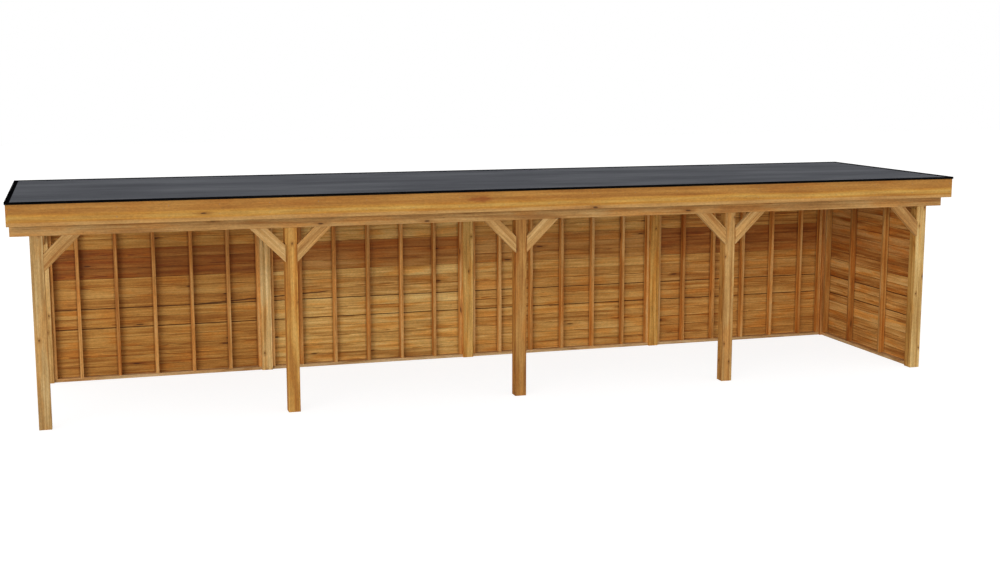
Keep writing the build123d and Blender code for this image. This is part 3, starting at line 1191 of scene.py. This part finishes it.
sheet = Finish("rubber_sheet")
clouds = sheet.noise(sheet.place, CLOUDS, detail=5.0, roughness=0.6)
grit = sheet.noise(sheet.place, GRIT, roughness=0.7)
sheet_tone = sheet.calc("MULTIPLY_ADD", grit, GRIT_SHARE, sheet.times(clouds, 1 - GRIT_SHARE))
sheet.give("Base Color", sheet.row(sheet_tone, SHEET_STOPS))
sheet.give("Roughness", SHEET_ROUGHNESS)
sheet.give("Specular IOR Level", SHEET_SHINE)
sheet.bump(sheet_tone, **SHEET_RELIEF)
dress("roof_membrane", sheet.material)
print("roof skin of", len(SHEET_STOPS), "greys")

# %% [markdown]
# The roof edge is aluminium with a matt black powder coat: no gloss, a fine orange peel, and
# slightly greyer patches. Bare metal would need a metallic shader, but the coat hides the metal,
# so this is a plain dark surface.

# %% Roof edge
COAT_STOPS = ((0.3, shade(5, 5, 6)), (0.7, shade(14, 14, 15)))
COAT_ROUGHNESS = (0.5, 0.62)
PEEL = (420.0, 420.0, 420.0)
PEEL_RELIEF = dict(strength=0.15, distance=0.0003)
WEAR = (2.2, 2.2, 2.2)

coat = Finish("black_edge_metal")
peel = coat.noise(coat.place, PEEL)
wear = coat.noise(coat.place, WEAR, detail=4.0)
coat.give("Base Color", coat.row(wear, COAT_STOPS))
coat.give("Roughness", coat.fade(wear, *NOISE_SPAN, *COAT_ROUGHNESS))
coat.give("Specular IOR Level", 0.0)
coat.bump(peel, **PEEL_RELIEF)
for name in ("roof_trim_front_and_back", "roof_trim_ends"):
    dress(name, coat.material)
    print(name, "coated")

# %% [markdown]
# The floor is a wide pale sheet. Enough light to turn it white would bleach the wood. So to the
# camera it glows a little, which turns it white while the soft shadow stays on it. To all other
# rays it is plain pale paint.

# %% Floor
FLOOR_SIZE = 120.0
FLOOR_DROP = 0.0005
FLOOR_GLOW = 0.86
FLOOR_PAINT = (0.82, 0.81, 0.80, 1.0)
SHADOW_PAINT = grey(0.28)
WHITE = grey(1.0)
mesh = bmesh.new()
bmesh.ops.create_grid(mesh, x_segments=1, y_segments=1, size=FLOOR_SIZE / 2)
floor_data = bpy.data.meshes.new("floor")
mesh.to_mesh(floor_data)
mesh.free()
floor = bpy.data.objects.new("floor", floor_data)
bpy.context.scene.collection.objects.link(floor)
floor.location.z = -FLOOR_DROP

paint = Finish("floor_paint")
paint.tree.nodes.remove(paint.surface)
lit = paint.node("BsdfDiffuse", {"Color": FLOOR_PAINT})
seen_lit = paint.node("BsdfDiffuse", {"Color": SHADOW_PAINT})
glow = paint.node("Emission", {"Color": WHITE, "Strength": FLOOR_GLOW})
seen = paint.node("AddShader", {0: seen_lit.outputs[0], 1: glow.outputs[0]})
camera_ray = paint.node("LightPath").outputs["Is Camera Ray"]
both = paint.node("MixShader", {0: camera_ray, 1: lit.outputs[0], 2: seen.outputs[0]})
paint.join(both.outputs[0], paint.output.inputs["Surface"])
floor_data.materials.append(paint.material)
print("floor of", FLOOR_SIZE, "m")

# %% [markdown]
# A bright sky all round gives soft light. What the camera sees of it, or sees in a shiny surface,
# is pure white, while the light that it sheds is a little weaker, so that nothing bleaches.

# %% World
SKY_LIGHT = 0.8
SEEN_LIGHT = 1.0
world = bpy.data.worlds.new("studio")
bpy.context.scene.world = world
world.use_nodes = True
studio = Network(world.node_tree)
rays = studio.node("LightPath").outputs
shown = studio.calc("MAXIMUM", rays["Is Camera Ray"], rays["Is Glossy Ray"])
shown = studio.calc("MAXIMUM", shown, rays["Is Transmission Ray"])
sky = studio.node("Background", {"Color": WHITE, "Strength": SKY_LIGHT})
backdrop = studio.node("Background", {"Color": WHITE, "Strength": SEEN_LIGHT})
both = studio.node("MixShader", {0: shown, 1: sky.outputs[0], 2: backdrop.outputs[0]})
studio.node("OutputWorld", {"Surface": both.outputs[0]})
print("sky light", SKY_LIGHT)

# %% [markdown]
# One broad, even light comes from the front and left. It stands low, so that it passes under the
# roof and reaches the back wall and the right end. A panel lamp would fall off along twelve metres
# of veranda. A sun lamp with a wide angle lights all of it the same, with no sharp shadow.

# %% Broad light
BROAD_LIGHT_FROM = (-0.62, -0.78, 0.13)
BROAD_LIGHT_ANGLE = math.radians(34)
BROAD_LIGHT_STRENGTH = 1.5
broad_data = bpy.data.lights.new("broad_light", "SUN")
broad_data.angle = BROAD_LIGHT_ANGLE
broad_data.energy = BROAD_LIGHT_STRENGTH
broad_light = bpy.data.objects.new("broad_light", broad_data)
broad_light.rotation_euler = Vector(BROAD_LIGHT_FROM).to_track_quat("Z", "Y").to_euler()
bpy.context.scene.collection.objects.link(broad_light)
print("broad light", round(math.degrees(BROAD_LIGHT_ANGLE)), "degrees wide")

# %% [markdown]
